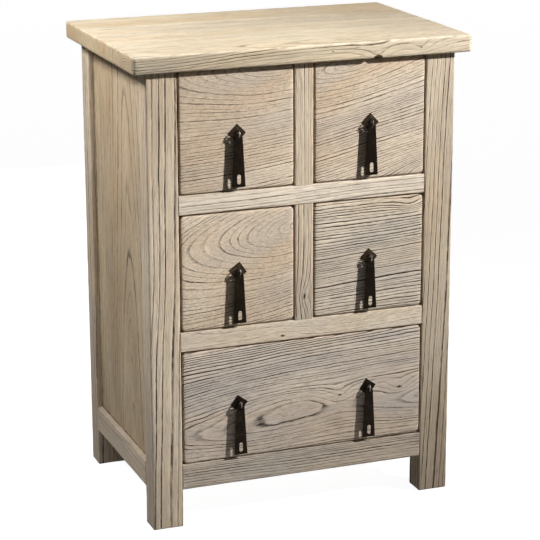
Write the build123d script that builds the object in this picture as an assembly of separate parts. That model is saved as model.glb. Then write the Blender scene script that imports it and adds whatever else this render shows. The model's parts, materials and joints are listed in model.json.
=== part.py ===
from build123d import *
import os

# A chest of five drawers in bleached elm with black iron drop pulls.
# Millimetres, +Z up, +X to the right seen from the front, which faces -Y.
# The origin is on the floor, under the middle of the top.

# Heights, from the floor up
leg_clearance = 67.0
bottom_rail_height = 45.0
lower_row_height = 201.0
lower_rail_height = 34.0
middle_row_height = 202.0
upper_rail_height = 33.0
upper_row_height = 208.0
top_thickness = 30.0

# Widths and depths of the case
post_width = 54.0
post_depth = 42.0
opening_width = 204.0
stile_width = 34.0
case_depth = 375.0
side_overhang = 25.0
front_overhang = 15.0
back_overhang = 10.0

# Front and side frame
front_rail_depth = 35.0
side_rail_thickness = 32.0
tenon_length = 18.0
tenon_thickness = 12.0
tenon_shoulder = 5.0
stile_tenon_length = 10.0
panel_thickness = 14.0
panel_recess = 10.0
panel_tongue = 8.0
panel_play = 1.0

# Parts under the top
top_board_count = 4
tie_rail_height = 22.0
tie_rail_depth = 20.0
tie_tenon_thickness = 8.0
cleat_ledge = 16.0
screw_shank_diameter = 4.0
screw_bite = 18.0
screw_head_diameter = 8.0
screw_head_height = 3.0
screw_hole_play = 0.1

# Back of the case
rear_rail_depth = 24.0
rear_tenon_thickness = 10.0
back_board_thickness = 9.0
back_board_count = 4
back_rebate = 10.0
back_board_gap = 0.6

# Runners and stops
runner_ledge = 20.0
guide_height = 25.0
runner_tenon_width = 12.0
runner_tenon_length = 10.0
runner_tenon_shoulder = 8.0
stop_width = 14.0
stop_depth = 15.0
stop_height = 20.0

# Drawers
front_gap_side = 1.5
front_gap_top = 2.0
front_gap_bottom = 1.5
front_thickness = 20.0
lower_headroom = 19.0
middle_headroom = 20.0
tie_headroom = 4.0
drawer_side_thickness = 12.0
drawer_back_thickness = 12.0
drawer_back_drop = 8.0
drawer_back_inset = 8.0
drawer_back_tongue = 5.0
drawer_bottom_thickness = 6.0
drawer_bottom_rise = 10.0
drawer_bottom_tongue = 6.0
tail_count = 3
tail_width = 34.0
tail_length = 13.0
tail_flare = 2.2

# Pulls
pull_height = 98.5
plate_side = 22.3
plate_thickness = 1.5
plate_edge = 0.4
eye_radius = 5.0
eye_wire = 3.0
eye_standoff = 0.1
staple_diameter = 4.0
staple_hole_play = 0.2
staple_leg_length = 13.0
staple_split = 0.4
drop_length = 89.5
drop_bottom_width = 23.6
drop_shoulder_width = 14.0
drop_shoulder_fall = 4.5
drop_crown_width = 6.0
drop_crown_rise = 0.3
drop_thickness = 2.0
drop_hole_diameter = 6.5
drop_hole_fall = 6.25
drop_slot_width = 6.5
drop_slot_length = 16.5
drop_slot_rise = 5.0
drop_corner = 2.0
drop_edge = 0.3

# How far each square plate was fixed off its corner, in degrees
plate_turn_upper_left = -1.0
plate_turn_upper_right = -2.0
plate_turn_middle_left = -11.0
plate_turn_middle_right = 2.0
plate_turn_lower_left = 8.0
plate_turn_lower_right = 10.0

# Eased edges
top_edge_radius = 5.0
top_corner_radius = 6.0
post_edge_radius = 2.5
foot_chamfer = 2.0
rail_edge_radius = 2.0
front_edge_radius = 3.0
front_corner_radius = 7.0
back_board_chamfer = 1.5

# Levels worked out from the heights: each floor is the surface that a row of drawers runs on
lower_floor = leg_clearance + bottom_rail_height
lower_rail_base = lower_floor + lower_row_height
middle_floor = lower_rail_base + lower_rail_height
upper_rail_base = middle_floor + middle_row_height
upper_floor = upper_rail_base + upper_rail_height
case_height = upper_floor + upper_row_height
tie_base = case_height - tie_rail_height

# Places across the case
stile_face = stile_width / 2
post_inner = stile_face + opening_width
post_outer = post_inner + post_width
top_half_length = post_outer + side_overhang
panel_outer = post_outer - panel_recess
panel_inner = panel_outer - panel_thickness
side_rail_inner = post_outer - side_rail_thickness
cleat_inner = post_inner - cleat_ledge

# Places from front to back
top_depth = front_overhang + case_depth + back_overhang
front_face = front_overhang - top_depth / 2
back_face = front_face + case_depth
front_post_back = front_face + post_depth
rear_post_front = back_face - post_depth
front_rail_back = front_face + front_rail_depth
rear_rail_back = rear_post_front + rear_rail_depth
tie_back = front_post_back
tie_front = tie_back - tie_rail_depth
drawer_inner_face = front_face + front_thickness
drawer_rear = rear_post_front - stop_depth

nodes = {}


def block(x_from, x_to, y_from, y_to, z_from, z_to):
    """A squared piece of timber between two corners."""
    middle = Pos((x_from + x_to) / 2, (y_from + y_to) / 2, (z_from + z_to) / 2)
    return middle * Box(abs(x_to - x_from), abs(y_to - y_from), abs(z_to - z_from))


def cut(piece, *others):
    """The piece with the room that the others take removed."""
    for other in others:
        piece = piece - other
    return piece


def pair(left_piece):
    """A left piece and the right one that mirrors it."""
    return left_piece, mirror(left_piece, about=Plane.YZ)


def group(pieces):
    """Separate solids kept together in one node."""
    return Compound([solid for piece in pieces for solid in piece.solids()])


def ease_long_edges(piece, along):
    """Round the two long front edges of a rail or a stile."""
    front = piece.faces().sort_by(Axis.Y)[0]
    return fillet(front.edges().filter_by(along), rail_edge_radius)


def tenons(y_from, y_to, base, height, thickness):
    """The tongue through a rail that ends in a tenon in each post."""
    middle = (y_from + y_to) / 2
    end = post_inner + tenon_length
    return block(-end, end, middle - thickness / 2, middle + thickness / 2,
                 base + tenon_shoulder, base + height - tenon_shoulder)


def front_rail(base, height):
    """A front rail between the posts, flush with them."""
    rail = block(-post_inner, post_inner, front_face, front_rail_back, base, base + height)
    rail = ease_long_edges(rail, Axis.X)
    return rail + tenons(front_face, front_rail_back, base, height, tenon_thickness)


def rear_rail(base, height):
    """A rear rail between the rear posts."""
    rail = block(-post_inner, post_inner, rear_post_front, rear_rail_back, base, base + height)
    return rail + tenons(rear_post_front, rear_rail_back, base, height, rear_tenon_thickness)


def tie_rail():
    """The rail under the top, behind the upper drawer fronts."""
    rail = block(-post_inner, post_inner, tie_front, tie_back, tie_base, case_height)
    return rail + tenons(tie_front, tie_back, tie_base, tie_rail_height, tie_tenon_thickness)


def stile(base, height, upper_tenon):
    """A short upright between two drawers, with stub tenons into the rails."""
    upright = block(-stile_face, stile_face, front_face, front_rail_back, base, base + height)
    upright = ease_long_edges(upright, Axis.Z)
    middle = (front_face + front_rail_back) / 2
    tenon_top = base + height + upper_tenon
    tenon = block(tenon_shoulder - stile_face, stile_face - tenon_shoulder,
                  middle - tenon_thickness / 2, middle + tenon_thickness / 2,
                  base - stile_tenon_length, tenon_top)
    return upright + tenon


def side_rail():
    """The left lower side rail, tenoned into its posts and grooved for the panel."""
    rail_top = leg_clearance + bottom_rail_height
    rail = block(-post_outer, -side_rail_inner, front_post_back, rear_post_front, leg_clearance, rail_top)
    outer_edges = rail.edges().filter_by(Axis.Y).group_by(Axis.X)[0]
    rail = fillet(outer_edges, rail_edge_radius)
    middle = -(post_outer + side_rail_inner) / 2
    tenon = block(middle - tenon_thickness / 2, middle + tenon_thickness / 2,
                  front_post_back - tenon_length, rear_post_front + tenon_length,
                  leg_clearance + tenon_shoulder, rail_top - panel_tongue - panel_play - tenon_shoulder)
    return rail + tenon


def side_panel(play):
    """The left side panel, its edges in grooves; play widens it to the room that the grooves give."""
    tongue = panel_tongue + play
    return block(-panel_outer, -panel_inner, front_post_back - tongue, rear_post_front + tongue,
                 lower_floor - tongue, case_height)


def post_blank(y_from, y_to):
    """A left post before its mortises are cut, eased on its long edges and its foot."""
    blank = block(-post_outer, -post_inner, y_from, y_to, 0, case_height)
    blank = fillet(blank.edges().filter_by(Axis.Z), post_edge_radius)
    return chamfer(blank.faces().sort_by(Axis.Z)[0].edges(), foot_chamfer)


def side_runner(floor, height, outer):
    """A left runner: the drawer side rides on its ledge and along its guide."""
    ledge_inner = post_inner - runner_ledge
    body = block(-outer, -ledge_inner, front_post_back, rear_post_front, floor - height, floor)
    nose = block(-post_inner, -ledge_inner, front_rail_back, front_post_back, floor - height, floor)
    guide = block(-outer, -post_inner, front_post_back, rear_post_front, floor, floor + guide_height)
    middle = -(post_inner + ledge_inner) / 2
    tenon = block(middle - runner_tenon_width / 2, middle + runner_tenon_width / 2,
                  front_rail_back - runner_tenon_length, rear_post_front + runner_tenon_length,
                  floor - height + runner_tenon_shoulder, floor - runner_tenon_shoulder)
    return body + nose + guide + tenon


def centre_runner(floor, height):
    """The runner behind a stile, shared by the two drawers beside it."""
    ledge_half = stile_face + runner_ledge
    body = block(-ledge_half, ledge_half, front_rail_back, rear_post_front, floor - height, floor)
    guide = block(-stile_face, stile_face, front_rail_back, rear_post_front, floor, floor + guide_height)
    tenon = block(-runner_tenon_width / 2, runner_tenon_width / 2,
                  front_rail_back - runner_tenon_length, rear_post_front + runner_tenon_length,
                  floor - height + runner_tenon_shoulder, floor - runner_tenon_shoulder)
    return body + guide + tenon


def screw(x, y):
    """A round-head screw driven up into the top, its head under a rail or a cleat."""
    shank_length = tie_rail_height + screw_bite
    shank = Pos(x, y, tie_base + shank_length / 2) * Cylinder(screw_shank_diameter / 2, shank_length)
    head_middle = Pos(x, y, tie_base - screw_head_height / 2)
    return shank + head_middle * Cylinder(screw_head_diameter / 2, screw_head_height)


def screw_hole(x, y):
    """The hole that a screw's shank passes up."""
    length = tie_rail_height + screw_bite + screw_hole_play
    radius = screw_shank_diameter / 2 + screw_hole_play
    return Pos(x, y, tie_base + length / 2) * Cylinder(radius, length)


def top_slab():
    """The whole top, its edges rounded, before it is parted into boards."""
    slab = block(-top_half_length, top_half_length, -top_depth / 2, top_depth / 2,
                 case_height, case_height + top_thickness)
    slab = fillet(slab.edges().filter_by(Axis.Z), top_corner_radius)
    rims = slab.faces().sort_by(Axis.Z)[0].edges() + slab.faces().sort_by(Axis.Z)[-1].edges()
    return fillet(rims, top_edge_radius)


def build_case():
    """Everything of the chest that stands still."""
    rail_levels = [(leg_clearance, bottom_rail_height),
                   (lower_rail_base, lower_rail_height),
                   (upper_rail_base, upper_rail_height)]
    bottom_rail, lower_rail, upper_rail = [front_rail(base, height) for base, height in rail_levels]
    tie = tie_rail()
    rear_rails = [rear_rail(base, height) for base, height in rail_levels]
    rear_rails.append(rear_rail(tie_base, tie_rail_height))

    upper_stile = cut(stile(upper_floor, upper_row_height, 0), tie)
    middle_stile = stile(middle_floor, middle_row_height, stile_tenon_length)

    runners = []
    for base, height in rail_levels:
        outer = side_rail_inner if base == leg_clearance else panel_inner
        runners.extend(pair(side_runner(base + height, height, outer)))
    for base, height in rail_levels[1:]:
        runners.append(centre_runner(base + height, height))

    board_depth = top_depth / top_board_count
    board_middles = [(index + 0.5) * board_depth - top_depth / 2 for index in range(top_board_count)]
    column_middle = (stile_face + post_inner) / 2
    cleat_middle = (panel_inner + post_inner) / 2
    screw_places = [(x, y) for x in (-cleat_middle, cleat_middle) for y in board_middles[1:-1]]
    screw_places += [(x, (tie_front + tie_back) / 2) for x in (-column_middle, column_middle)]
    screw_places += [(x, (rear_post_front + rear_rail_back) / 2) for x in (-column_middle, column_middle)]
    holes = [screw_hole(x, y) for x, y in screw_places]

    slab = cut(top_slab(), *holes)
    board_names = ["top_board_front", "top_board_front_middle", "top_board_rear_middle", "top_board_rear"]
    for name, middle in zip(board_names, board_middles):
        lane = block(-top_half_length, top_half_length, middle - board_depth / 2, middle + board_depth / 2,
                     case_height, case_height + top_thickness)
        nodes[name] = slab & lane

    nodes["front_bottom_rail"] = cut(bottom_rail, *runners)
    nodes["front_lower_rail"] = cut(lower_rail, middle_stile, *runners)
    nodes["front_upper_rail"] = cut(upper_rail, middle_stile, upper_stile, *runners)
    nodes["front_tie_rail"] = cut(tie, *holes)
    nodes["upper_stile"] = upper_stile
    nodes["middle_stile"] = middle_stile
    nodes["rear_rails"] = group([cut(rail, *runners, *holes) for rail in rear_rails])
    nodes["drawer_runners"] = group(runners)

    left_panel = side_panel(0)
    panel_room = side_panel(panel_play)
    left_rail = side_rail()
    left_front_post = cut(post_blank(front_face, front_post_back), panel_room, left_rail, tie,
                          bottom_rail, lower_rail, upper_rail)
    rebate = block(-post_inner - back_rebate, -post_inner, rear_rail_back, back_face,
                   leg_clearance, case_height)
    left_rear_post = cut(post_blank(rear_post_front, back_face), panel_room, left_rail, rebate, *rear_rails)
    nodes["front_left_post"], nodes["front_right_post"] = pair(left_front_post)
    nodes["rear_left_post"], nodes["rear_right_post"] = pair(left_rear_post)
    nodes["left_side_rail"], nodes["right_side_rail"] = pair(cut(left_rail, panel_room))
    nodes["left_side_panel"], nodes["right_side_panel"] = pair(left_panel)

    cleat = block(-panel_inner, -cleat_inner, front_post_back, rear_post_front, tie_base, case_height)
    nodes["top_cleats"] = group([cut(piece, *holes) for piece in pair(cleat)])
    nodes["top_screws"] = group([screw(x, y) for x, y in screw_places])

    back_width = 2 * (post_inner + back_rebate)
    lane_width = back_width / back_board_count
    back_boards = []
    for index in range(back_board_count):
        lane_start = index * lane_width - back_width / 2
        board = block(lane_start + back_board_gap / 2, lane_start + lane_width - back_board_gap / 2,
                      rear_rail_back, rear_rail_back + back_board_thickness, leg_clearance, case_height)
        outer_edges = board.faces().sort_by(Axis.Y)[-1].edges().filter_by(Axis.Z)
        back_boards.append(chamfer(outer_edges, back_board_chamfer))
    nodes["back_boards"] = group(back_boards)


def tails(x_from, x_to, floor, side_height):
    """The dovetails on the front end of a drawer side."""
    pitch = side_height / tail_count
    pieces = []
    for index in range(tail_count):
        middle = floor + (index + 0.5) * pitch
        root = tail_width / 2
        tip = root + tail_flare
        tip_place = drawer_inner_face - tail_length
        outline = Polyline((drawer_inner_face, middle - root), (drawer_inner_face, middle + root),
                           (tip_place, middle + tip), (tip_place, middle - tip), close=True)
        profile = Plane.YZ.offset(x_from) * make_face(outline)
        pieces.append(extrude(profile, amount=x_to - x_from))
    return pieces


def drawer_box(name, x_from, x_to, floor, row_height, headroom, pull_places):
    """One drawer's wooden pieces, with a hole through its front for each pull.

    headroom is what its sides leave free below the runner or tie rail over them.
    """
    front = block(x_from, x_to, front_face, drawer_inner_face,
                  floor + front_gap_bottom, floor + row_height - front_gap_top)
    front = fillet(front.edges().filter_by(Axis.Y), front_corner_radius)
    front = fillet(front.faces().sort_by(Axis.Y)[0].edges(), front_edge_radius)

    side_left_inner = x_from + drawer_side_thickness
    side_right_inner = x_to - drawer_side_thickness
    side_height = row_height - headroom
    side_top = floor + side_height
    bottom_base = floor + drawer_bottom_rise
    bottom_top = bottom_base + drawer_bottom_thickness
    back_rear = drawer_rear - drawer_back_inset
    bottom = block(side_left_inner - drawer_bottom_tongue, side_right_inner + drawer_bottom_tongue,
                   drawer_inner_face - drawer_bottom_tongue, drawer_rear, bottom_base, bottom_top)
    back = block(side_left_inner - drawer_back_tongue, side_right_inner + drawer_back_tongue,
                 back_rear - drawer_back_thickness, back_rear, bottom_top, side_top - drawer_back_drop)

    sides = []
    for side_from, side_to in ((x_from, side_left_inner), (side_right_inner, x_to)):
        side = block(side_from, side_to, drawer_inner_face, drawer_rear, floor, side_top)
        joint = tails(side_from, side_to, floor, side_height)
        front = cut(front, *joint)
        for tail in joint:
            side = side + tail
        sides.append(cut(side, bottom, back))

    hole_radius = staple_diameter / 2 + staple_hole_play
    for pull_x in pull_places:
        middle = Pos(pull_x, (front_face + drawer_inner_face) / 2, floor + pull_height)
        front = front - middle * Rot(90, 0, 0) * Cylinder(hole_radius, front_thickness)

    nodes[name + "_front"] = cut(front, bottom)
    nodes[name + "_sides"] = group(sides)
    nodes[name + "_back"] = back
    nodes[name + "_bottom"] = bottom


def plate(x, z, turn):
    """The square iron plate behind an eye, hung by one corner and a little askew."""
    square = extrude(Rectangle(plate_side, plate_side), plate_thickness)
    square = chamfer(square.faces().sort_by(Axis.Z)[-1].edges(), plate_edge)
    square = square - Cylinder(staple_diameter / 2 + staple_hole_play, 3 * plate_thickness)
    return Pos(x, front_face, z) * Rot(90, 0, 0) * Rot(0, 0, 45 + turn) * square


def eye_place():
    """How far forward of the origin the middle of an eye lies."""
    return front_face - plate_thickness - eye_standoff - eye_radius - eye_wire / 2


def staple(x, z):
    """The split staple: a ring eye, a shank through plate and front, and legs bent over inside."""
    ring = Pos(x, eye_place(), z) * Rot(0, 90, 0) * Torus(eye_radius, eye_wire / 2)
    shank_front = eye_place() + eye_radius
    shank_length = drawer_inner_face - shank_front
    shank_middle = Pos(x, shank_front + shank_length / 2, z)
    shank = shank_middle * Rot(90, 0, 0) * Cylinder(staple_diameter / 2, shank_length)
    legs = Pos(x, drawer_inner_face, z) * Cylinder(staple_diameter / 2, 2 * staple_leg_length)
    inside = block(x - staple_diameter, x + staple_diameter, drawer_inner_face,
                   drawer_inner_face + staple_diameter, z - staple_leg_length, z + staple_leg_length)
    split = block(x - staple_diameter, x + staple_diameter, drawer_inner_face,
                  drawer_inner_face + staple_diameter, z - staple_split / 2, z + staple_split / 2)
    return ring + shank + cut(legs & inside, split)


def drop(x, z):
    """The tapered iron drop that hangs in the eye, with a finger slot near its end."""
    bottom_half = drop_bottom_width / 2
    shoulder_half = drop_shoulder_width / 2
    crown_half = drop_crown_width / 2
    outline = Polyline((-bottom_half, -drop_length), (bottom_half, -drop_length),
                       (shoulder_half, -drop_shoulder_fall), (crown_half, drop_crown_rise),
                       (-crown_half, drop_crown_rise), (-shoulder_half, -drop_shoulder_fall), close=True)
    blade = make_face(outline)
    blade = fillet(blade.vertices(), drop_corner)
    slot_middle = drop_slot_rise + drop_slot_length / 2 - drop_length
    blade = blade - Pos(0, slot_middle) * SlotOverall(drop_slot_length, drop_slot_width, rotation=90)
    blade = blade - Pos(0, -drop_hole_fall) * Circle(drop_hole_diameter / 2)
    solid = extrude(blade, drop_thickness / 2, both=True)
    flats = solid.faces().filter_by(Axis.Z).sort_by(Axis.Z)
    rims = flats[0].outer_wire().edges() + flats[-1].outer_wire().edges()
    solid = chamfer(rims, drop_edge)
    return Pos(x, eye_place(), z) * Rot(90, 0, 0) * solid


def build_drawers():
    """Five drawers with their pulls, and the stops that they close against."""
    left_from = front_gap_side - post_inner
    left_to = -stile_face - front_gap_side
    column_middle = (stile_face + post_inner) / 2
    upper_row = (upper_floor, upper_row_height, tie_rail_height + tie_headroom)
    middle_row = (middle_floor, middle_row_height, middle_headroom)
    lower_row = (lower_floor, lower_row_height, lower_headroom)
    left_span = (left_from, left_to)
    right_span = (-left_to, -left_from)
    drawers = [
        ("upper_left_drawer", left_span, upper_row, [(-column_middle, plate_turn_upper_left)]),
        ("upper_right_drawer", right_span, upper_row, [(column_middle, plate_turn_upper_right)]),
        ("middle_left_drawer", left_span, middle_row, [(-column_middle, plate_turn_middle_left)]),
        ("middle_right_drawer", right_span, middle_row, [(column_middle, plate_turn_middle_right)]),
        ("lower_drawer", (left_from, -left_from), lower_row,
         [(-column_middle, plate_turn_lower_left), (column_middle, plate_turn_lower_right)])]

    stops = []
    for name, (x_from, x_to), (floor, height, headroom), pulls in drawers:
        drawer_box(name, x_from, x_to, floor, height, headroom, [x for x, turn in pulls])
        pull_z = floor + pull_height
        nodes[name + "_plate"] = group([plate(x, pull_z, turn) for x, turn in pulls])
        nodes[name + "_staple"] = group([staple(x, pull_z) for x, turn in pulls])
        for side_middle in (x_from + drawer_side_thickness / 2, x_to - drawer_side_thickness / 2):
            stops.append(block(side_middle - stop_width / 2, side_middle + stop_width / 2,
                               drawer_rear, rear_post_front, floor, floor + stop_height))
    nodes["drawer_stops"] = group(stops)

    nodes["upper_left_drop"] = drop(-column_middle, upper_floor + pull_height)
    nodes["upper_right_drop"] = drop(column_middle, upper_floor + pull_height)
    nodes["middle_left_drop"] = drop(-column_middle, middle_floor + pull_height)
    nodes["middle_right_drop"] = drop(column_middle, middle_floor + pull_height)
    nodes["lower_left_drop"] = drop(-column_middle, lower_floor + pull_height)
    nodes["lower_right_drop"] = drop(column_middle, lower_floor + pull_height)


build_case()
build_drawers()

os.makedirs("parts", exist_ok=True)
for node_name, shape in nodes.items():
    export_step(shape, os.path.join("parts", node_name + ".step"))
print(len(nodes), "nodes written")
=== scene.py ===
# %% [markdown]
# A chest of five drawers in bleached elm, with black iron drop pulls.
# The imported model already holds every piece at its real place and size, in metres, with the front
# facing -Y and the floor at zero. This lesson gives those pieces the looks of old, limed and brushed timber.

# %% Load the frame
import json
import math

import bmesh
import bpy
from mathutils import Matrix, Vector

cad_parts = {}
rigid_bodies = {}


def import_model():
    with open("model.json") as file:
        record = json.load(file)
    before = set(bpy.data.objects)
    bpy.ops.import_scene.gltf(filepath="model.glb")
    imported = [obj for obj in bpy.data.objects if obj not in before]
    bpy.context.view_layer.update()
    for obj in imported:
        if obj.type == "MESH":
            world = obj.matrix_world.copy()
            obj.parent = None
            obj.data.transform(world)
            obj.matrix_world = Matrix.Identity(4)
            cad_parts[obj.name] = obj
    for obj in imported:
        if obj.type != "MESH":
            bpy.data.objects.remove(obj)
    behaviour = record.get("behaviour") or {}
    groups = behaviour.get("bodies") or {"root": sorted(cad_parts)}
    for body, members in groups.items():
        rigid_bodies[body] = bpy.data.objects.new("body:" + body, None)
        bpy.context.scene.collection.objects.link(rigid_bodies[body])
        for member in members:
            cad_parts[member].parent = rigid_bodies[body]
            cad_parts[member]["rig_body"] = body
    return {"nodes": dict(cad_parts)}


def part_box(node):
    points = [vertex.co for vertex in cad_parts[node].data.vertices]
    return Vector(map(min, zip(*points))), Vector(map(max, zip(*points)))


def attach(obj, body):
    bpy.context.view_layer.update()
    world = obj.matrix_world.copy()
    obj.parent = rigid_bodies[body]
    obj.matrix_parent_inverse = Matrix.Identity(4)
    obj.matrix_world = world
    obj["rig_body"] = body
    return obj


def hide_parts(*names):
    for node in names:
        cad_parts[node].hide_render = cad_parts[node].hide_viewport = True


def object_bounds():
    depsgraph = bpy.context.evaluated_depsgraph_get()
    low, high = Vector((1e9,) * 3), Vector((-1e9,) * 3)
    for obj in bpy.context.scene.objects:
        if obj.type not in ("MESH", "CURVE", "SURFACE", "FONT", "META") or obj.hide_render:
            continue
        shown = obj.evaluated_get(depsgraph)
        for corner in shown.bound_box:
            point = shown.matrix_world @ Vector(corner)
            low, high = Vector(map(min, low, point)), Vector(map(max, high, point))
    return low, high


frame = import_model()
cad_low, cad_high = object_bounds()
bpy.ops.object.select_all(action="DESELECT")

# %% [markdown]
# The camera stands a little left of the chest and looks down on it, from over three metres away,
# so the sides run back with hardly any taper. A long lens gives that calm, catalogue look.

# %% Camera
camera_turn = math.radians(20.79)
camera_rise = math.radians(15.96)
camera_roll = math.radians(-0.20)
camera_distance = 3.644
camera_lens = 136.65
aim_right = 0.0081
aim_up = -0.0240

back = Vector((-math.sin(camera_turn) * math.cos(camera_rise),
               -math.cos(camera_turn) * math.cos(camera_rise), math.sin(camera_rise)))
level = Vector((math.cos(camera_turn), -math.sin(camera_turn), 0.0))
upright = back.cross(level)
right = level * math.cos(camera_roll) + upright * math.sin(camera_roll)
up = upright * math.cos(camera_roll) - level * math.sin(camera_roll)
aim = (cad_low + cad_high) / 2 + right * aim_right + up * aim_up

bpy.ops.object.camera_add(location=aim + back * camera_distance)
camera = bpy.context.object
camera.rotation_euler = Matrix((right, up, back)).transposed().to_euler()
camera.data.lens = camera_lens
bpy.context.scene.camera = camera
print("Camera at", [round(value, 2) for value in camera.location])

# %% [markdown]
# A finish is a web of shader nodes. It could be wired by hand in the editor, but with a few small helpers
# it reads like a sum: a value that is a socket becomes a link, and anything else is written on the input.

# %% Node helpers
def add(tree, kind, inputs=(), **settings):
    """A shader node, with its settings chosen and its inputs linked or filled."""
    made = tree.nodes.new("ShaderNode" + kind)
    for setting, choice in settings.items():
        setattr(made, setting, choice)
    for key, value in inputs.items() if isinstance(inputs, dict) else enumerate(inputs):
        if isinstance(value, bpy.types.NodeSocket):
            tree.links.new(value, made.inputs[key])
        else:
            made.inputs[key].default_value = value
    return made


def link(inputs, values):
    """Link sockets to the named inputs of a node."""
    for name, value in values.items():
        value.id_data.links.new(value, inputs[name])


def sums(operation, *values, kind="Math"):
    """The result of a Math node."""
    tree = next(value.id_data for value in values if isinstance(value, bpy.types.NodeSocket))
    return add(tree, kind, values, operation=operation).outputs[0]


def vectors(operation, *values):
    """The result of a Vector Math node that gives a vector."""
    return sums(operation, *values, kind="VectorMath")


def length_of(vector):
    """How long a vector is."""
    return add(vector.id_data, "VectorMath", (vector,), operation="LENGTH").outputs["Value"]


def ramp(value, low, high, start=0.0, end=1.0):
    """A smooth step from start to end while the value goes from low to high."""
    steps = (value, low, high, start, end)
    return add(value.id_data, "MapRange", steps, interpolation_type="SMOOTHSTEP").outputs[0]


def blend(factor, first, second, mode="MIX"):
    """Two colours mixed by a factor."""
    colours = {0: factor, 6: first, 7: second}
    return add(first.id_data, "Mix", colours, data_type="RGBA", blend_type=mode).outputs[2]


def noise(vector, stretch, detail=1.0):
    """Noise over a stretched vector, so its spots become long along the grain."""
    stretched = vectors("MULTIPLY", vector, stretch)
    return add(vector.id_data, "TexNoise", {"Vector": stretched, "Scale": 1.0, "Detail": detail}).outputs


print("Ready to wire nodes")

# %% [markdown]
# An effect that several finishes share is a node group with named sockets. Nodes could be copied instead,
# but a group is built once and placed with its own values, so one good grain serves every board.

# %% Groups, materials and colours
def new_group(name, inputs, outputs):
    """An empty node group, its input sockets and its output sockets."""
    tree = bpy.data.node_groups.new(name, "ShaderNodeTree")
    for side, sockets in (("INPUT", inputs), ("OUTPUT", outputs)):
        for kind, names in sockets.items():
            for socket_name in names:
                tree.interface.new_socket(socket_name, in_out=side, socket_type="NodeSocket" + kind)
    return tree, tree.nodes.new("NodeGroupInput").outputs, tree.nodes.new("NodeGroupOutput").inputs


def use_group(tree, name, inputs):
    """The outputs of a group that is placed in a material."""
    return add(tree, "Group", inputs, node_tree=bpy.data.node_groups[name]).outputs


def new_material(name):
    """A material, its node tree and its shader."""
    material = bpy.data.materials.new(name)
    material.use_nodes = True
    return material, material.node_tree, material.node_tree.nodes["Principled BSDF"]


def coat(tree, shader, colour, surface, strength, depth):
    """Give a shader its colour, and the roughness and relief of a group."""
    bump = add(tree, "Bump", {"Height": surface["Height"], "Strength": strength, "Distance": depth})
    relief = bump.outputs[0]
    link(shader.inputs, {"Base Color": colour, "Roughness": surface["Roughness"], "Normal": relief})


def paint(red, green, blue):
    """A colour as it reads on a screen, made linear for the shader."""
    parts = [part / 255 for part in (red, green, blue)]
    linear = [part / 12.92 if part <= 0.04045 else ((part + 0.055) / 1.055) ** 2.4 for part in parts]
    return (*linear, 1.0)


print("Ready to mix finishes")

# %% [markdown]
# Five lamps light the chest at a plain level. A small one high on the right throws the crisp shadows of the
# pulls to the left, and one on the left throws the shadow of the top on the side. Broad weak ones overhead
# and in front fill in, and one low behind keeps the back from going dark.

# %% Lamps
def lamp(name, place, target, size, power, spread):
    """A square area lamp that faces a target, its beam held to a spread in degrees."""
    bpy.ops.object.light_add(type="AREA", location=place)
    made = bpy.context.object
    made.name = name
    made.rotation_euler = (Vector(target) - Vector(place)).to_track_quat("-Z", "Y").to_euler()
    made.data.size = size
    made.data.energy = power
    made.data.spread = math.radians(spread)


lamp("key_lamp", (2.45, -1.75, 2.10), (0.0, -0.185, 0.66), size=0.18, power=9.0, spread=40.0)
lamp("side_lamp", (-1.2, 0.0, 1.70), (-0.27, 0.0, 0.75), size=0.32, power=2.75, spread=60.0)
lamp("top_lamp", (0.0, 0.1, 2.4), (0.0, 0.0, 0.8), size=1.2, power=0.5, spread=180.0)
lamp("front_lamp", (0.0, -3.0, 1.0), (0.0, -0.185, 0.5), size=1.6, power=1.5, spread=180.0)
lamp("back_lamp", (0.2, 2.6, 0.42), (0.0, 0.19, 0.40), size=0.8, power=6.5, spread=60.0)

# %% [markdown]
# The chest stands in a white room without edges. White walls would throw light back, so the floor and the
# world only look white to the camera, and that white adds no light to the chest.

# %% White room
world_fill = 0.035
floor_size, floor_drop = 30.0, 0.0002
floor_grey, floor_roughness, floor_glow = 0.25, 0.9, 0.93
white = (1.0, 1.0, 1.0, 1.0)


def seen_directly(tree):
    """One for what the camera sees straight, in a mirror or through glass."""
    path = tree.nodes.new("ShaderNodeLightPath").outputs
    seen = sums("MAXIMUM", path["Is Camera Ray"], path["Is Glossy Ray"])
    return sums("MAXIMUM", seen, path["Is Transmission Ray"])


world = bpy.data.worlds.new("white_room")
world.use_nodes = True
bpy.context.scene.world = world
tree = world.node_tree
background = tree.nodes["Background"]
background.inputs["Color"].default_value = white
white_share = add(tree, "MapRange", (seen_directly(tree), 0.0, 1.0, world_fill, 1.0))
tree.links.new(white_share.outputs[0], background.inputs["Strength"])

bpy.ops.mesh.primitive_plane_add(size=floor_size, location=(0.0, 0.0, -floor_drop))
floor = bpy.context.object
floor.name = "studio_floor"

floor_paper, tree, shader = new_material("floor_paper")
shader.inputs["Base Color"].default_value = (floor_grey, floor_grey, floor_grey, 1.0)
shader.inputs["Roughness"].default_value = floor_roughness
shader.inputs["Emission Color"].default_value = white
glow = sums("MULTIPLY", seen_directly(tree), floor_glow)
tree.links.new(glow, shader.inputs["Emission Strength"])
floor.data.materials.append(floor_paper)
bpy.context.scene.view_settings.view_transform = "Standard"
print("Laid a floor of", floor_size, "metres")

# %% [markdown]
# Elm is ring-porous: each year starts with a band of wide pores, which weathering and brushing open
# into a dark groove. Stripes of noise would look like wood on one face, but not round its edges. So the
# figure is made as in the tree: rings stand round a heart line, and each board is a slice through them.
# The vector that comes in is turned so that X runs along the grain and the heart line is at Y = Z = 0.

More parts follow.
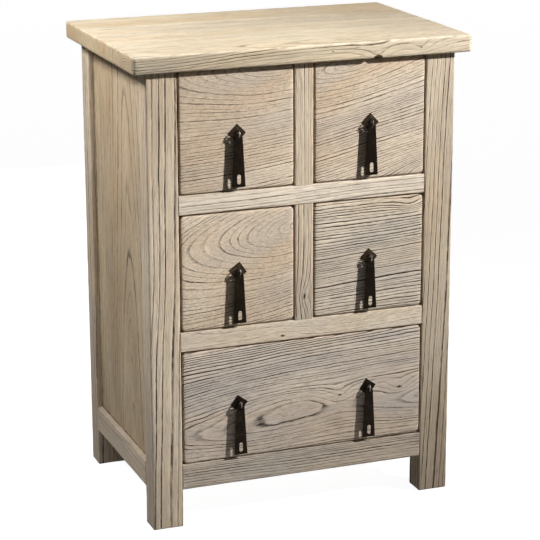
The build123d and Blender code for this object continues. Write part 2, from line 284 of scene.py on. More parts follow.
# %% Rings and grooves
def wander(vector, stretch, detail, reach):
    """A small step to the side for each point, by noise."""
    spots = vectors("SUBTRACT", noise(vector, stretch, detail)["Color"], (0.5, 0.5, 0.5))
    return add(vector.id_data, "VectorMath", {0: spots, "Scale": reach}, operation="SCALE").outputs[0]


def grow_rings(tree, given):
    """Where a point lies in the stem, how far from the heart, and the age and vigour of its ring."""
    # The stem sways slowly along its length, and each ring wanders a little more
    vector, wave = given["Vector"], given["Wave"]
    sway = wander(vector, (2.2, 8.0, 8.0), 1.0, sums("MULTIPLY", wave, 4.0))
    jitter = wander(vector, (22.0, 80.0, 80.0), 2.0, sums("MULTIPLY", wave, 0.3))
    place = vectors("ADD", vector, vectors("ADD", sway, jitter))
    radius = length_of(vectors("MULTIPLY", place, (0.0, 1.0, 1.0)))

    # Years are wide and narrow in turn, so the rings are counted along a distance that is pushed about
    years = sums("DIVIDE", sums("ADD", radius, given["Bend"]), given["Ring Width"])
    decade = sums("MULTIPLY_ADD", years, 0.21, given["Seed"])
    weather = {"W": decade, "Scale": 1.0, "Detail": 1.0}
    drought = add(tree, "TexNoise", weather, noise_dimensions="1D").outputs[0]
    years = sums("MULTIPLY_ADD", drought, 2.0, years)
    age = sums("FRACT", years)
    year = sums("ADD", sums("FLOOR", years), given["Seed"])
    vigour = add(tree, "TexWhiteNoise", {"W": year}, noise_dimensions="1D").outputs["Value"]
    return place, radius, age, vigour


def open_grooves(given, place, radius, age, vigour):
    """How far the pores at the start of each year have opened into a groove."""
    # A groove opens sharply and fades into the dense summer wood
    depth = sums("MULTIPLY", age, given["Ring Width"])
    opening = ramp(depth, 0.0001, 0.0005)
    groove = sums("MULTIPLY", opening, ramp(depth, 0.0007, 0.0021, 1.0, 0.0))

    # It is weak in a poor year, it breaks and fades along its length, and near the heart, where the rings
    # are cut at a slant, it is shallow and pale
    breaks = noise(place, (60.0, 320.0, 320.0), 3.0)[0]
    fading = noise(place, (9.0, 90.0, 90.0))[0]
    for share in (ramp(vigour, 0.0, 1.0, 0.35, 1.0), ramp(breaks, 0.34, 0.56, 0.50, 1.0),
                  ramp(fading, 0.34, 0.62, 0.50, 1.0), ramp(radius, 0.010, given["Calm"], 0.35, 1.0)):
        groove = sums("MULTIPLY", groove, share)
    return groove


print("Ready to grow a stem of elm")

# %% [markdown]
# The figure group turns rings and grooves into a colour, a roughness and a height. Bleached elm drifts
# between pale, tan and ash, fine fibres streak it, and short pores dash it between the grooves.

# %% Elm figure
def build_elm_figure():
    """Node group: the colour, roughness and height of brushed elm."""
    tree, given, result = new_group(
        "elm_figure", {"Vector": ["Vector"], "Color": ["Pale", "Tan", "Ash", "Line"],
                       "Float": ["Bend", "Ring Width", "Wave", "Line Strength", "Calm", "Seed"]},
        {"Color": ["Color"], "Float": ["Roughness", "Height"]})
    place, radius, age, vigour = grow_rings(tree, given)
    groove = open_grooves(given, place, radius, age, vigour)
    lip = sums("MULTIPLY", ramp(age, 0.74, 0.94), vigour)
    fibre = noise(place, (16.0, 420.0, 420.0), 3.0)[0]
    pores = ramp(noise(place, (55.0, 900.0, 900.0))[0], 0.56, 0.68)
    drift = noise(given["Vector"], (3.0, 13.0, 13.0), 2.0)["Color"]
    drift = add(tree, "SeparateColor", (drift,)).outputs

    # Late wood and heartwood are browner, and the lip before each groove is a little lighter
    tan_share = sums("MULTIPLY_ADD", age, 0.25, ramp(drift[0], 0.38, 0.68, 0.0, 0.65))
    tan_share = sums("ADD", tan_share, ramp(radius, 0.0, 0.08, 0.35, 0.0))
    wood = blend(tan_share, given["Pale"], given["Tan"])
    wood = blend(ramp(drift[1], 0.42, 0.66, 0.0, 0.75), wood, given["Ash"])
    streak = sums("MULTIPLY_ADD", lip, 0.18, ramp(fibre, 0.28, 0.72, 1.10, 0.86))
    grey_streak = add(tree, "CombineColor", (streak, streak, streak)).outputs[0]
    wood = blend(1.0, wood, grey_streak, "MULTIPLY")
    lines = sums("MULTIPLY", groove, given["Line Strength"])
    shade = sums("MULTIPLY_ADD", pores, 0.22, lines)
    wood = blend(sums("MINIMUM", shade, 1.0), wood, given["Line"])

    relief = sums("MULTIPLY_ADD", fibre, 0.25, sums("MULTIPLY", groove, -1.0))
    roughness = sums("MULTIPLY_ADD", groove, 0.15, ramp(fibre, 0.2, 0.8, 0.62, 0.74))
    relief = sums("MULTIPLY_ADD", pores, -0.2, relief)
    link(result, {"Color": wood, "Roughness": roughness, "Height": relief})
    return tree


print("Elm figure has", len(build_elm_figure().nodes), "nodes")

# %% [markdown]
# A pin knot is where a twig left the stem. The rings swerve round it and its eye is dark. A dark dot alone
# would look painted on, so this group also gives how far the knot pushes the rings aside.

# %% Pin knot
def build_pin_knot():
    """Node group: how a small knot bends the rings, and its dark eye."""
    tree, given, result = new_group(
        "pin_knot", {"Vector": ["Vector", "Place", "Squeeze"], "Float": ["Reach", "Push", "Eye"]},
        {"Float": ["Bend", "Mask"]})
    away = vectors("SUBTRACT", given["Vector"], given["Place"])
    distance = length_of(vectors("MULTIPLY", away, given["Squeeze"]))
    share = sums("DIVIDE", distance, given["Reach"])
    swell = sums("DIVIDE", given["Push"], sums("MULTIPLY_ADD", share, share, 1.0))
    ragged = noise(given["Vector"], (400.0, 400.0, 400.0))[0]
    rim = sums("ADD", sums("DIVIDE", distance, given["Eye"]), ragged)
    link(result, {"Bend": swell, "Mask": ramp(rim, 0.7, 1.4, 1.0, 0.0)})
    return tree


print("Pin knot has", len(build_pin_knot().nodes), "nodes")

# %% [markdown]
# Edges turn to another colour: brown where the bleach is gone, pale on the top as a painted highlight,
# and dark in the panels' seams as painted shade and dirt. A point near an edge of a squared board is close to
# two of its faces at once, so the middle one of its three distances from the faces says how near the edge
# is. That needs no painted texture.

# %% Worn and painted edges
def build_edge_band():
    """Node group: one on the edges of a squared piece, ragged, and zero on its faces."""
    tree, given, result = new_group(
        "edge_band", {"Vector": ["Vector", "Centre", "Half Size"], "Float": ["Reach"]}, {"Float": ["Mask"]})
    inset = vectors("ABSOLUTE", vectors("SUBTRACT", given["Vector"], given["Centre"]))
    inset = add(tree, "SeparateXYZ", (vectors("SUBTRACT", given["Half Size"], inset),)).outputs
    nearest = sums("MINIMUM", sums("MINIMUM", inset[0], inset[1]), inset[2])
    farthest = sums("MAXIMUM", sums("MAXIMUM", inset[0], inset[1]), inset[2])
    total = sums("ADD", sums("ADD", inset[0], inset[1]), inset[2])
    edge = sums("SUBTRACT", total, sums("ADD", nearest, farthest))
    ragged = noise(given["Vector"], (55.0, 55.0, 55.0), 3.0)[0]
    reach = sums("MULTIPLY", given["Reach"], ramp(ragged, 0.30, 0.70, 0.2, 1.8))
    share = sums("DIVIDE", edge, reach)
    link(result, {"Mask": ramp(share, 0.35, 1.0, 1.0, 0.0)})
    return tree


print("Worn edge has", len(build_edge_band().nodes), "nodes")

# %% [markdown]
# Each board gets its own cut of elm, said by a point on its heart line and the direction of its grain.
# One material for all would be simpler, but then grain would run on from board to board, as it never does.

# %% Elm for one board
end_grain_tint = (232, 222, 206)
knot_brown = (70, 48, 32)
raw_brown = (142, 106, 70)
floor_dark_tone = (90, 76, 62)
foot_low, foot_high = 0.10, 0.60
edge_reach = 0.003
finishes = {}


def elm(node_name, heart, grain, ring=0.008, wave=0.006, line=0.95, calm=0.07, seed=0.0,
        pale=(228, 211, 188), tan=(210, 186, 158), ash=(202, 188, 171), dark=(80, 64, 51), edge=0.2,
        accent_tone=(160, 128, 94), outline=None, planed=0.0, raw_sides=0.0, floor_darkening=0.0, knots=()):
    """The finish of one piece, cut from the tree at its own place.

    Line is the strength of the grooves, and calm how far from the heart they reach it. Edge says how far the
    edges of the outline go to the accent tone, which is worn brown by default, a painted highlight on the top
    and painted shade with dirt on the panels. Planed says how smooth the upper face is, raw_sides how brown
    the piece is behind its face, and floor_darkening how much darker it turns towards the floor.
    """
    material, tree, shader = new_material(node_name + "_elm")
    here = tree.nodes.new("ShaderNodeTexCoord").outputs["Object"]
    turn = Vector(grain).to_track_quat("X", "Z").to_euler()
    cut = add(tree, "Mapping", {"Vector": here, "Location": heart, "Rotation": turn}, vector_type="TEXTURE")
    bend, eyes = 0.0, 0.0
    for spot in knots:
        swirl = use_group(tree, "pin_knot", {"Vector": here, **spot})
        bend = sums("ADD", bend, swirl["Bend"])
        eyes = sums("MAXIMUM", eyes, swirl["Mask"])

    # Ends show the grain end on, a little darker and with weaker lines
    facing = tree.nodes.new("ShaderNodeNewGeometry").outputs["Normal"]
    aspect = add(tree, "SeparateXYZ", (facing,)).outputs
    endwise = add(tree, "VectorMath", (facing, Vector(grain).normalized()), operation="DOT_PRODUCT")
    end_grain = ramp(sums("ABSOLUTE", endwise.outputs["Value"]), 0.60, 0.95, 0.0, 0.8)
    strength = ramp(aspect["Z"], 0.3, 0.9, line, line * (1.0 - planed))
    strength = sums("MULTIPLY", strength, ramp(end_grain, 0.0, 0.8, 1.0, 0.9))
    figure = use_group(tree, "elm_figure", {
        "Vector": cut.outputs[0], "Bend": bend, "Ring Width": ring, "Wave": wave, "Line Strength": strength,
        "Calm": calm, "Seed": seed, "Pale": paint(*pale), "Tan": paint(*tan), "Ash": paint(*ash),
        "Line": paint(*dark)})

    low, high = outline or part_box(node_name)
    squared = {"Vector": here, "Centre": (low + high) / 2, "Half Size": (high - low) / 2, "Reach": edge_reach}
    # Edges go to the accent tone: worn brown on most boards, a pale painted highlight on the top, and painted
    # shade with dirt in the panels' seams
    edge_wear_and_painted_light = sums("MULTIPLY", use_group(tree, "edge_band", squared)["Mask"], edge)
    colour = blend(edge_wear_and_painted_light, figure["Color"], paint(*accent_tone))
    colour = blend(end_grain, colour, paint(*end_grain_tint), "MULTIPLY")
    if knots:
        colour = blend(eyes, colour, paint(*knot_brown))
    if raw_sides:
        behind = ramp(aspect["Y"], -0.30, -0.05, 0.0, raw_sides)
        colour = blend(behind, colour, paint(*raw_brown))
    # The piece turns darker towards the floor by this share
    if floor_darkening:
        height = add(tree, "SeparateXYZ", (here,)).outputs["Z"]
        darkening = ramp(height, foot_low, foot_high, floor_darkening, 0.0)
        colour = blend(darkening, colour, paint(*floor_dark_tone))
    shader.inputs["Specular IOR Level"].default_value = 0.12
    coat(tree, shader, colour, figure, strength=0.9, depth=0.0016)
    finishes[node_name] = material


print("Ready to cut boards")

# %% [markdown]
# On the front, the heart line meets a face at a place, rises across it by some degrees and dives behind it.
# A short reach gives round arches, and a long one almost straight lines.

# %% Fronts and rails
front_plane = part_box("upper_left_drawer_front")[0].y


def front_elm(node_name, heart_x, heart_z, rise, reach, **cut):
    """Elm for a piece whose face shows to the front, its grain rising by degrees to the right."""
    dive, turn = math.atan(1.0 / reach), math.radians(rise)
    grain = Vector((math.cos(turn) * math.cos(dive), math.sin(dive), math.sin(turn) * math.cos(dive)))
    elm(node_name, (heart_x, front_plane, heart_z), grain, **cut)


def knot(x, z, reach=0.02, push=0.02, eye=0.003, squeeze=(0.5, 0.4, 1.0), y=front_plane):
    """A pin knot at a place on the front of the chest."""
    return {"Place": (x, y, z), "Reach": reach, "Push": push, "Eye": eye, "Squeeze": squeeze}


def drawer_elm(drawer, *place, **cut):
    """Elm for a drawer front, which was never bleached on its sides."""
    front_elm(drawer + "_front", *place, raw_sides=0.8, **cut)


drawer_elm("upper_left_drawer", -0.035, 0.795, 7.0, 4.2, ring=0.0052, line=1.6, calm=0.16, seed=3.0)
drawer_elm("upper_right_drawer", 0.090, 0.785, 12.0, 5.0, ring=0.0048, line=1.8, seed=11.0,
           knots=[knot(0.222, 0.592, reach=0.022, push=0.030, eye=0.0005)])
drawer_elm("middle_left_drawer", -0.015, 0.515, 13.0, 3.2, ring=0.0056, line=1.85, calm=0.13, seed=23.0,
           pale=(233, 216, 193), tan=(215, 191, 163))
drawer_elm("middle_right_drawer", 0.200, 0.280, 3.0, 10.0, ring=0.0048, wave=0.009, line=2.3, seed=31.0,
           pale=(230, 215, 194), tan=(212, 192, 166), ash=(198, 187, 174), dark=(70, 60, 52),
           knots=[knot(0.195, 0.533, reach=0.012, push=0.010, eye=0.002)])
drawer_elm("lower_drawer", 0.280, 0.190, 2.5, 13.0, ring=0.0046, wave=0.009, line=2.8, calm=0.11, seed=47.0,
           pale=(233, 218, 199), tan=(212, 192, 170), ash=(201, 190, 180), dark=(66, 58, 54),
           knots=[knot(0.067, 0.202), knot(0.180, 0.203, eye=0.004)])

rail_tones = {"pale": (236, 222, 202), "tan": (222, 204, 179), "ash": (224, 210, 191)}
front_elm("front_upper_rail", 0.500, 0.500, 0.5, 30.0, ring=0.0060, line=0.7, seed=5.0, **rail_tones)
front_elm("front_lower_rail", 0.100, 0.365, 3.0, 10.0, ring=0.0110, line=0.6, seed=9.0, **rail_tones,
          knots=[knot(-0.039, 0.322, reach=0.012, push=0.012, eye=0.0035)])
front_elm("front_bottom_rail", -0.100, 0.020, 1.0, 20.0, ring=0.0045, line=1.6, seed=13.0,
          pale=(220, 206, 188), tan=(200, 182, 160), ash=(190, 180, 168), dark=(74, 66, 60))
front_elm("front_tie_rail", -0.500, 0.700, 0.0, 40.0, ring=0.0090, line=0.8, seed=15.0)
print("Cut", len(finishes), "boards for the front")

# %% [markdown]
# Posts, stiles, side panels and back boards stand upright. A heart line well outside a post leaves straight,
# combed lines on it, and one close behind a panel gives tall arches. The panels' seams are darkened with
# painted shade and dirt.

# %% Uprights
def upright_elm(node_name, heart_x, heart_y, lean_x=0.0, lean_y=0.0, heart_z=0.0, **cut):
    """Elm for a piece whose grain stands upright."""
    elm(node_name, (heart_x, heart_y, heart_z), (lean_x, lean_y, 1.0), **cut)


def panel_opening(side):
    """The part of a side panel that shows between its posts, above its rail."""
    low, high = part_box(side + "_side_panel")
    low.y, high.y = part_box("front_left_post")[1].y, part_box("rear_left_post")[0].y
    low.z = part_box(side + "_side_rail")[1].z
    return low, high


post_tones = {"wave": 0.003, "line": 1.15, "pale": (228, 212, 189), "tan": (208, 186, 158),
              "ash": (198, 183, 165)}
# The right front post turns darker towards the floor
dark_post_tones = {"wave": 0.003, "line": 1.6, "pale": (212, 196, 173), "tan": (193, 172, 145),
                   "ash": (184, 169, 151), "floor_darkening": 0.18}
upright_elm("front_left_post", -0.360, -0.060, 0.030, 0.004, ring=0.0070, seed=61.0, **post_tones)
upright_elm("front_right_post", 0.370, -0.050, 0.035, 0.004, ring=0.0065, seed=64.0, **dark_post_tones)
upright_elm("rear_left_post", -0.390, 0.050, 0.006, 0.010, ring=0.0075, seed=71.0, **post_tones)
upright_elm("rear_right_post", 0.390, 0.050, 0.006, 0.010, ring=0.0075, seed=73.0, **post_tones)

stile_tones = {"ring": 0.0060, "wave": 0.008, "line": 0.9, "pale": (214, 198, 175), "tan": (197, 174, 147),
               "ash": (190, 176, 160)}
upright_elm("upper_stile", 0.070, -0.150, 0.010, seed=79.0, **stile_tones)
upright_elm("middle_stile", -0.060, -0.150, 0.010, seed=83.0, **stile_tones,
            knots=[knot(0.001, 0.388, reach=0.010, push=0.010, eye=0.004, squeeze=(1.0, 0.4, 0.5))])

# The dark tone at the panels' edges is painted shade and dirt in their seams
panel_tones = {"ring": 0.0070, "wave": 0.008, "line": 1.1, "pale": (216, 197, 166), "tan": (184, 158, 125),
               "ash": (186, 165, 138), "edge": 0.85, "accent_tone": (92, 72, 52)}
upright_elm("left_side_panel", -0.185, -0.040, 0.06, 0.02, 0.420, seed=89.0,
            outline=panel_opening("left"), **panel_tones)
upright_elm("right_side_panel", 0.185, 0.030, -0.05, 0.02, 0.500, seed=97.0,
            outline=panel_opening("right"), **panel_tones)

back_tones = {"ring": 0.0080, "wave": 0.008, "line": 0.8, "pale": (206, 188, 158), "tan": (186, 160, 126)}
upright_elm("back_boards", 0.050, 0.260, 0.03, 0.05, 0.300, seed=101.0, **back_tones)
print("Uprights bring the elm to", len(finishes), "boards")

# %% [markdown]
# The side rails run from front to back, and the boards of the top from left to right. The top was planed
# after it was glued, so its upper face is smoother than its edges, and its edges carry a pale painted
# highlight.

# %% Side rails and top
for side, heart_x, seed in [("left", -0.30, 103.0), ("right", 0.30, 107.0)]:
    elm(side + "_side_rail", (heart_x, 0.0, 0.020), (0.01, 1.0, 0.01), ring=0.0090, line=0.6, seed=seed)

top_hearts = {"top_board_front": (0.7, -0.16, 0.800), "top_board_front_middle": (-0.9, -0.26, 0.795),
              "top_board_rear_middle": (0.8, 0.20, 0.800), "top_board_rear": (-0.3, 0.165, 0.814)}
top_outline = (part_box("top_board_front")[0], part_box("top_board_rear")[1])
on_edge = {"squeeze": (0.6, 0.5, 1.0), "y": top_outline[0].y}
edge_knots = [knot(0.125, 0.791, 0.020, 0.016, 0.0020, **on_edge),
              knot(0.205, 0.804, 0.014, 0.010, 0.0016, **on_edge),
              knot(0.045, 0.807, 0.004, 0.0, 0.0016, **on_edge)]
for index, (board_name, heart) in enumerate(top_hearts.items()):
    grain = (1.0, 0.012 - 0.01 * index, 0.06 if heart[0] > 0 else -0.03)
    # The pale tone on the top's edges is a painted highlight
    elm(board_name, heart, grain, ring=0.0050, line=1.0, planed=0.4, seed=113.0 + 6.0 * index,
        pale=(228, 213, 186), tan=(211, 189, 156), ash=(209, 194, 170), outline=top_outline, edge=0.4,
        accent_tone=(246, 236, 216), knots=edge_knots if board_name == "top_board_front" else ())
print("Side rails and top bring the elm to", len(finishes), "boards")

# %% [markdown]
# The inner pieces were planed and never bleached, so they are browner and their figure is quieter. They are
# hardly seen, so they keep the shape that they have in the frame, and only their finish is new.

# %% Inner elm
def inner_elm(node_name, grain, seed):
    """Planed elm for a piece inside the case or a drawer."""
    low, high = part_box(node_name)
    heart = (low + high) / 2 + Vector((0.21, 0.17, -0.13))
    elm(node_name, heart, grain, ring=0.006, line=0.4, seed=seed, pale=(206, 184, 150), tan=(184, 154, 116),
        dark=(110, 86, 62))


drawer_names = ["upper_left_drawer", "upper_right_drawer", "middle_left_drawer", "middle_right_drawer",
                "lower_drawer"]
for index, drawer in enumerate(drawer_names):
    inner_elm(drawer + "_sides", (0.03, 1.0, 0.02), 200.0 + 7.0 * index)
    inner_elm(drawer + "_back", (1.0, 0.02, 0.03), 201.0 + 7.0 * index)
    inner_elm(drawer + "_bottom", (1.0, 0.03, 0.04), 202.0 + 7.0 * index)
for index, node_name in enumerate(["drawer_runners", "drawer_stops", "top_cleats"]):
    inner_elm(node_name, (0.02, 1.0, 0.02), 300.0 + 5.0 * index)
inner_elm("rear_rails", (1.0, 0.02, 0.02), 315.0)
print("Inner pieces bring the elm to", len(finishes), "finishes")

# %% [markdown]
# The pulls are forged iron, blackened hot and waxed. The hammer leaves shallow facets, and handling
# rubs the raised spots a little smoother and browner. A Voronoi texture has cells like such facets, so it
# drives the relief and the rubbing together.

# %% Black iron and zinc
def build_forged():
    """Node group: the colour, roughness and height of a hammered and waxed surface."""
    tree, given, result = new_group(
        "forged", {"Vector": ["Vector"], "Color": ["Dark", "Rubbed"]},
        {"Color": ["Color"], "Float": ["Roughness", "Height"]})
    cells = {"Vector": given["Vector"], "Scale": 260.0, "Smoothness": 0.7}
    facets = add(tree, "TexVoronoi", cells, feature="SMOOTH_F1").outputs["Distance"]
    scale_spots = noise(given["Vector"], (900.0, 900.0, 900.0), 3.0)[0]
    cloud = noise(given["Vector"], (90.0, 90.0, 90.0), 2.0)[0]
    accent_tone = sums("MULTIPLY", ramp(cloud, 0.42, 0.68), ramp(facets, 0.15, 0.55, 1.0, 0.2))
    roughness = sums("MULTIPLY_ADD", scale_spots, 0.22, ramp(accent_tone, 0.0, 1.0, 0.34, 0.24))
    link(result, {"Color": blend(accent_tone, given["Dark"], given["Rubbed"]), "Roughness": roughness,
                  "Height": sums("MULTIPLY_ADD", scale_spots, 0.25, facets)})


def metal(name, dark, accent_tone, metallic, depth):
    """A worked metal with its own two colours and depth of relief."""
    material, tree, shader = new_material(name)
    here = tree.nodes.new("ShaderNodeTexCoord").outputs["Object"]
    surface = use_group(tree, "forged", {"Vector": here, "Dark": paint(*dark), "Rubbed": paint(*accent_tone)})
    shader.inputs["Metallic"].default_value = metallic
    shader.inputs["Specular IOR Level"].default_value = 0.2
    coat(tree, shader, surface["Color"], surface, strength=0.5, depth=depth)
    return material


build_forged()
black_iron = metal("black_iron", (23, 17, 11), (44, 33, 23), 0.85, 0.0004)
plate_iron = metal("plate_iron", (44, 34, 25), (86, 69, 53), 0.8, 0.0004)
worn_iron = metal("worn_iron", (82, 76, 70), (198, 192, 186), 0.95, 0.0001)
zinc_steel = metal("zinc_steel", (150, 150, 146), (188, 188, 184), 1.0, 0.0001)
drawer_of_drop = {drawer.replace("_drawer", "_drop"): drawer for drawer in drawer_names[:-1]}
drawer_of_drop.update({"lower_left_drop": "lower_drawer", "lower_right_drop": "lower_drawer"})
for drop_name, drawer in drawer_of_drop.items():
    finishes[drop_name] = black_iron
    finishes[drawer + "_plate"] = black_iron if drawer == "lower_drawer" else plate_iron
    finishes[drawer + "_staple"] = worn_iron
finishes["top_screws"] = zinc_steel
for node_name, piece in frame["nodes"].items():
    piece.material_slots[0].material = finishes[node_name]
print("Dressed", len(frame["nodes"]), "pieces of the frame")

# %% [markdown]
# The timber was squared by hand and has been knocked about since, so no edge is quite straight. Bump alone
# can't show that at an outline, so each board that shows is modelled again. It starts as a cube at its real
# size. Chosen edges are rounded with bevels, and it is sliced into cells that can then move.

# %% Board helpers
touch = 1e-5


def pick(piece):
    """Select one piece alone and make it the active one."""
    bpy.ops.object.select_all(action="DESELECT")
    piece.select_set(True)
    bpy.context.view_layer.objects.active = piece


def start_block(name, low, high):
    """A cube between two corners, with its place in its mesh."""
    bpy.ops.mesh.primitive_cube_add(size=1.0, location=(low + high) / 2, scale=high - low)
    piece = bpy.context.object
    piece.name = name
    bpy.ops.object.transform_apply()
    return piece


def round_edges(piece, wanted, radius, segments):
    """Bevel the edges that are wanted, judged by their two ends."""
    pick(piece)
    bpy.ops.object.mode_set(mode="EDIT")
    bpy.ops.mesh.select_mode(type="EDGE")
    bpy.ops.mesh.select_all(action="DESELECT")
    mesh = bmesh.from_edit_mesh(piece.data)
    for edge in mesh.edges:
        edge.select_set(wanted([point.co for point in edge.verts]))
    bmesh.update_edit_mesh(piece.data)
    bpy.ops.mesh.bevel(offset=radius, segments=segments, affect="EDGES", clamp_overlap=True)
    bpy.ops.object.mode_set(mode="OBJECT")


def along(axis, edge):
    """True for an edge that lies along an axis."""
    first, last = edge
    return abs((last - first).normalized()[axis]) > 0.999


def on_plane(axis, edge, *places):
    """True for an edge that lies in the plane at one of some places on an axis."""
    return any(all(abs(point[axis] - place) < touch for point in edge) for place in places)


def slice_up(piece, low, high, cells, margin):
    """Cut a piece across each axis into cells of about the given sizes, clear of its rounded edges."""
    pick(piece)
    bpy.ops.object.mode_set(mode="EDIT")
    for axis, cell in enumerate(cells):
        start, end = low[axis] + margin, high[axis] - margin
        count = int((end - start) / cell)
        for step in range(count + 1 if count else 0):
            plane = [0.0, 0.0, 0.0]
            plane[axis] = start + (end - start) * step / count
            normal = [float(index == axis) for index in range(3)]
            bpy.ops.mesh.select_all(action="SELECT")
            bpy.ops.mesh.bisect(plane_co=plane, plane_no=normal)
    bpy.ops.object.mode_set(mode="OBJECT")


print("Ready to square boards")

# %% [markdown]
# Soft noise wears the edges inwards and leaves the faces a little uneven, as a hand plane does. Sculpting
# would do it too, but a Displace modifier held to a vertex group gives the same wear on every run.

# %% Wear
def clouds(name, size):
    """Soft noise for a displacement, with spots of about this size."""
    texture = bpy.data.textures.new(name, "CLOUDS")
    texture.noise_scale = size
    texture.noise_depth = 2
    return texture


plane_waves = clouds("plane_waves", 0.07)
edge_knocks = clouds("edge_knocks", 0.016)


def displace(piece, group, texture, strength, mid_level):
    """Move a group of points along their normals by a texture, and apply it."""
    pick(piece)
    bpy.ops.object.modifier_add(type="DISPLACE")
    wear = piece.modifiers[-1]
    wear.texture = texture
    wear.texture_coords = "LOCAL"
    wear.vertex_group = group
    wear.strength = strength
    wear.mid_level = mid_level
    bpy.ops.object.modifier_apply(modifier=wear.name)


def worn_board(name, low, high, rounds, cells, margin, reach=0.008, knock=0.0012, unevenness=0.0008,
               length=None, loose=None):
    """A board between two corners, with chosen edges rounded, worn at its edges and uneven on its faces.

    Only where loose says so may it move. Where a length axis is given, its ends are joined to other pieces
    and keep their edges.
    """
    piece = start_block(name, low, high)
    for wanted, radius, segments in rounds:
        round_edges(piece, wanted, radius, segments)
    slice_up(piece, low, high, cells, margin)
    edges = piece.vertex_groups.new(name="edges")
    faces = piece.vertex_groups.new(name="faces")
    across = [axis for axis in range(3) if axis != length]
    for point in piece.data.vertices:
        inset = sorted(min(point.co[axis] - low[axis], high[axis] - point.co[axis]) for axis in across)
        nearness = max(0.0, 1.0 - max(inset[1], 0.0) / reach)
        free = 1.0 if loose is None or loose(point.co) else 0.0
        edges.add([point.index], nearness * free, "REPLACE")
        faces.add([point.index], (1.0 - nearness) * free, "REPLACE")
    displace(piece, "edges", edge_knocks, -knock, 0.25)
    displace(piece, "faces", plane_waves, unevenness, 0.5)
    piece.vertex_groups.clear()
    return piece


print("Wear comes in waves of", plane_waves.noise_scale, "and knocks of", edge_knocks.noise_scale, "metres")

# %% [markdown]
# Joints, holes and slots are cut with Booleans, as with a chisel or a drill. A finished piece then takes its
# material, rides with its body and stands for its node of the frame.

# %% Cut and finish
round_sides = 28
smooth_below = math.radians(35.0)


def combine(piece, other, operation):
    """Cut one mesh out of another or fuse it in, and delete it."""
    pick(piece)
    bpy.ops.object.modifier_add(type="BOOLEAN")
    joint = piece.modifiers[-1]
    joint.object = other
    joint.operation = operation
    joint.solver = "EXACT"
    bpy.ops.object.modifier_apply(modifier=joint.name)
    bpy.data.objects.remove(other)


def round_bar(name, middle, radius, length, turn):
    """A round bar about a middle point, turned about X."""
    bpy.ops.mesh.primitive_cylinder_add(vertices=round_sides, radius=radius, depth=length, location=middle,
                                        rotation=(turn, 0.0, 0.0))
    bar = bpy.context.object
    bar.name = name
    bpy.ops.object.transform_apply()
    return bar


def drill(piece, x, y, z, radius, depth=0.02):
    """Drill a hole along Y through a piece."""
    combine(piece, round_bar("drill", (x, y, z), radius, depth, math.pi / 2), "DIFFERENCE")


def finish_piece(piece, node_name):
    """Smooth a piece, give it its finish, and let it stand for its node of the frame."""
    pick(piece)
    bpy.ops.object.shade_smooth_by_angle(angle=smooth_below)
    piece.data.materials.clear()
    piece.data.materials.append(finishes[node_name])
    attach(piece, frame["nodes"][node_name]["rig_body"])
    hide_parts(node_name)


print("Ready to cut joints")

# %% [markdown]
# The top is four boards glued edge to edge. One slab with drawn lines would be quicker, but with four blocks
# each board shows its own cut of elm, and the eased joints show as the finest of lines. Only the outer
# edges are rounded over. A squashed ball cuts the chip of wane under the front edge.

# %% Top boards
top_corner, top_round, joint_ease = 0.006, 0.004, 0.0004
top_cells, top_margin, glue_margin = (0.012, 0.012, 0.010), 0.007, 0.001
wane_place, wane_size = 0.127, (0.0085, 0.016, 0.0070)
for board_name in top_hearts:
    low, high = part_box(board_name)
    outer = (top_outline[0].y, top_outline[1].y)
    joints = [place for place in (low.y, high.y) if all(abs(place - end) > touch for end in outer)]
    rounds = [
        (lambda edge: along(2, edge) and not on_plane(1, edge, *joints), top_corner, 4),
        (lambda edge: on_plane(2, edge, low.z, high.z) and not on_plane(1, edge, *joints), top_round, 3),
        (lambda edge: on_plane(2, edge, high.z) and on_plane(1, edge, *joints), joint_ease, 1)]
    board = worn_board(board_name + "_timber", low, high, rounds, top_cells, top_margin,
                       loose=lambda point: all(abs(point.y - place) >= glue_margin for place in joints))
    if board_name == "top_board_front":
        bpy.ops.mesh.primitive_uv_sphere_add(segments=24, ring_count=12, radius=1.0, scale=wane_size,
                                             location=(wane_place, low.y, low.z))
        bpy.ops.object.transform_apply()
        combine(board, bpy.context.object, "DIFFERENCE")
    finish_piece(board, board_name)
print("Laid", len(top_hearts), "top boards")

# %% [markdown]
# The four posts run from the floor to the top. A Bevel modifier would round every edge alike, so edges are
# chosen instead: the long ones are softened, and the feet are rounded by years of dragging. The rear
# posts are rebated for the back boards.

# %% Posts
post_round, foot_round = 0.0025, 0.0035
post_cells, post_margin = (0.010, 0.010, 0.014), 0.005
clear = 0.01
post_names = ["front_left_post", "front_right_post", "rear_left_post", "rear_right_post"]
back_low, back_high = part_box("back_boards")
for post_name in post_names:
    low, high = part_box(post_name)
    rounds = [(lambda edge: along(2, edge), post_round, 3),
              (lambda edge: on_plane(2, edge, low.z), foot_round, 3)]
    post = worn_board(post_name + "_timber", low, high, rounds, post_cells, post_margin)
    if post_name.startswith("rear"):
        rebate = start_block("rebate", back_low, Vector((back_high.x, high.y + clear, high.z + clear)))
        combine(post, rebate, "DIFFERENCE")
    finish_piece(post, post_name)
print("Stood up", len(post_names), "posts")

# %% [markdown]
# Rails and stiles frame the drawers, and side rails and panels close the ends. Their tenons and tongues are
# out of sight, so each piece is only as long as its opening, and its front edges are eased. Drawers run on
# the upper faces of the front rails, so those stay flat.

# %% Rails, stiles and panels
left_post_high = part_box("front_left_post")[1]
right_post_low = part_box("front_right_post")[0]
rail_round, frame_margin = 0.002, 0.004
rail_cells, stile_cells = (0.012, 0.012, 0.009), (0.008, 0.012, 0.012)
panel_cells = (0.012, 0.014, 0.014)
eased_knock, seated_knock = 0.0010, 0.0002


